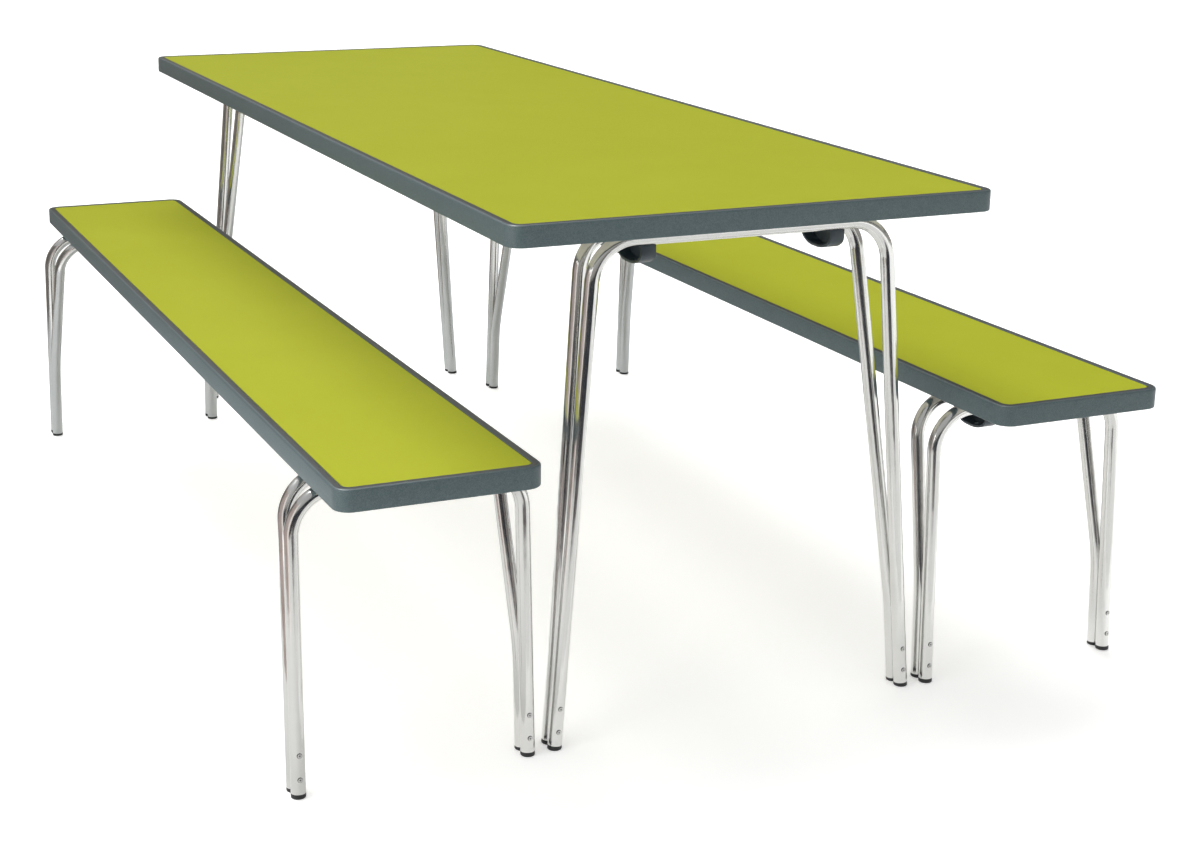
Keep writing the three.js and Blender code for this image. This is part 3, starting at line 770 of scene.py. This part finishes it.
# Matt white backdrop paper, lit from behind, that only low views see beyond the floor
backdrop_paper, where = new_material("matt_white_backdrop_paper")
cloud = add_node(backdrop_paper, "TexNoise", {"Vector": where, "Scale": per_mm(4000), "Detail": 2})
tone = add_node(backdrop_paper, "MixRGB", {
    "Fac": cloud.outputs["Fac"], "Color1": linear("#F4F4F3"), "Color2": linear("#F8F8F7"),
})
shader = add_node(backdrop_paper, "BsdfPrincipled", {
    "Base Color": tone.outputs["Color"], "Roughness": 0.8,
    "Emission Color": linear("#FFFFFF"), "Emission Strength": 1.0,
})
add_node(backdrop_paper, "OutputMaterial", {"Surface": shader.outputs["BSDF"]})
bpy.ops.object.select_all(action="DESELECT")
bpy.ops.mesh.primitive_cylinder_add(
    vertices=96, radius=FLOOR_HALF - 1, depth=BACKDROP_HEIGHT, end_fill_type="NOTHING",
    location=(0, 0, BACKDROP_HEIGHT / 2),
)
backdrop = bpy.context.object
backdrop.name = "backdrop"
apply_place(backdrop)
backdrop.visible_diffuse = False
backdrop.visible_glossy = False
backdrop.visible_shadow = False
dress(backdrop, backdrop_paper)


def add_flag(name, start, end, foot, height, low_colour, high_colour):
    """An upright flag of cloth that only reflections see, its colour changing from its foot upwards."""
    cloth, where = new_material(name + "_cloth")
    rise = add_node(cloth, "SeparateXYZ", {"Vector": where}).outputs["Z"]
    share = add_node(cloth, "MapRange", {"Value": rise, "From Min": foot, "From Max": foot + 0.25})
    tone = add_node(cloth, "MixRGB", {
        "Fac": share.outputs["Result"], "Color1": linear(low_colour), "Color2": linear(high_colour),
    })
    shader = add_node(cloth, "BsdfPrincipled", {"Base Color": tone.outputs["Color"], "Roughness": 1.0})
    add_node(cloth, "OutputMaterial", {"Surface": shader.outputs["BSDF"]})
    start, end = Vector(start), Vector(end)
    along = end - start
    flag = add_block((along.length, 0.01, height - foot), (0, 0, (height + foot) / 2))
    flag.name = name
    flag.data.transform(
        Matrix.Translation((*(start + end) / 2, 0)) @ Matrix.Rotation(math.atan2(along.y, along.x), 4, "Z")
    )
    flag.visible_camera = False
    flag.visible_diffuse = False
    flag.visible_shadow = False
    dress(flag, cloth)


add_flag("front_flag", (1.85, -0.72), (1.95, 0.35), 0, 0.62, "#3A2D2C", "#20242C")
add_flag("corner_flag", (1.39, -1.21), (1.85, -0.72), 0.16, 0.62, "#3A2D2C", "#20242C")
add_flag("gap_flag", (1.15, -1.36), (1.39, -1.21), 0, 1.0, "#EAE0DC", "#EAE0DC")
add_flag("far_flag", (-6.5, -1.5), (-3.0, 6.5), 0, 2.8, "#4A3F45", "#4A3F45")
add_flag("left_flag", (0.1, -1.38), (1.15, -1.36), 0, 1.0, "#A8968F", "#AD9C98")
add_flag("far_left_flag", (-1.3, -1.40), (0.1, -1.38), 0, 1.0, "#6E6A66", "#6E6A66")
add_flag("back_flag", (-1.3, -1.40), (-1.3, 0.5), 0, 1.0, "#9C9289", "#8C837B")


def add_floor_cloth(name, size, place, low_colour, high_colour, glow):
    """A cloth laid flat on the floor that only reflections see, with a faint light of its own."""
    cloth, where = new_material(name)
    weave = add_node(cloth, "TexNoise", {"Vector": where, "Scale": per_mm(30), "Detail": 2})
    tone = add_node(cloth, "MixRGB", {
        "Fac": weave.outputs["Fac"], "Color1": linear(low_colour), "Color2": linear(high_colour),
    })
    shader = add_node(cloth, "BsdfPrincipled", {
        "Base Color": tone.outputs["Color"], "Roughness": 1.0,
        "Emission Color": linear("#FFFFFF"), "Emission Strength": glow,
    })
    add_node(cloth, "OutputMaterial", {"Surface": shader.outputs["BSDF"]})
    sheet = add_block((*size, 1 * MM), (*place, 0))
    sheet.name = name
    sheet.visible_camera = False
    sheet.visible_diffuse = False
    sheet.visible_shadow = False
    dress(sheet, cloth)


add_floor_cloth("far_floor_cloth", (4, 8), (-2.2, 0), "#CBCFD1", "#D8DBDC", 0)
add_floor_cloth("near_floor_cloth", (3.2, 2.88), (1.65, -1.86), "#A4A4A2", "#AAAAA8", 0.45)
add_floor_cloth("front_floor_cloth", (2.05, 2.02), (2.225, 0.59), "#ACACAA", "#B2B2B0", 0.5)

world = bpy.data.worlds.new("studio")
world.use_nodes = True
bearing = add_node(world, "TexCoord").outputs["Generated"]
height = add_node(world, "SeparateXYZ", {"Vector": bearing}).outputs["Z"]
rise = add_node(world, "MapRange", {"Value": height, "From Min": 0.0, "From Max": 0.5})
sky = add_node(world, "MixRGB", {
    "Fac": rise.outputs["Result"], "Color1": linear("#C9C5BE"), "Color2": linear("#FAFBFC"),
})
background = world.node_tree.nodes["Background"]
world.node_tree.links.new(sky.outputs["Color"], background.inputs["Color"])
background.inputs["Strength"].default_value = 0.55
bpy.context.scene.world = world


def add_light(name, kind, place, aim, energy):
    light = bpy.data.lights.new(name, kind)
    light.energy = energy
    lamp = bpy.data.objects.new(name, light)
    lamp.location = place
    lamp.rotation_euler = (Vector(aim) - Vector(place)).to_track_quat("-Z", "Y").to_euler()
    bpy.context.scene.collection.objects.link(lamp)
    return light


add_light("overhead_light", "SUN", (-0.6, 0.08, 1.0), (0, 0, 0), 1.9).angle = math.radians(42)
glint = add_light("edge_glint", "SUN", (-0.23, -0.28, 0.93), (0, 0, 0), 7)
glint.angle = math.radians(15)
bpy.data.objects["edge_glint"].visible_diffuse = False
softbox = add_light("left_softbox", "AREA", (1.1, -2.0, 0.8), (0.7, -0.35, 0.55), 16)
softbox.shape = "RECTANGLE"
softbox.size = 1.4
softbox.size_y = 1.0

# Camera
# Stands where the photograph was taken from: to the left of the near end, a little above the
# tops, with the frame shifted because the picture is a crop.
lens = bpy.data.cameras.new("camera")
lens.sensor_width = 36
lens.lens = 60.05
lens.shift_x = 0.0582
lens.shift_y = -0.0558
camera = bpy.data.objects.new("camera", lens)
camera.location = (3.01002, -1.23604, 1.16452)
camera.rotation_euler = [math.radians(angle) for angle in (74.938, -0.522, 66.835)]
bpy.context.scene.collection.objects.link(camera)
bpy.context.scene.camera = camera
bpy.context.scene.view_settings.view_transform = "Standard"
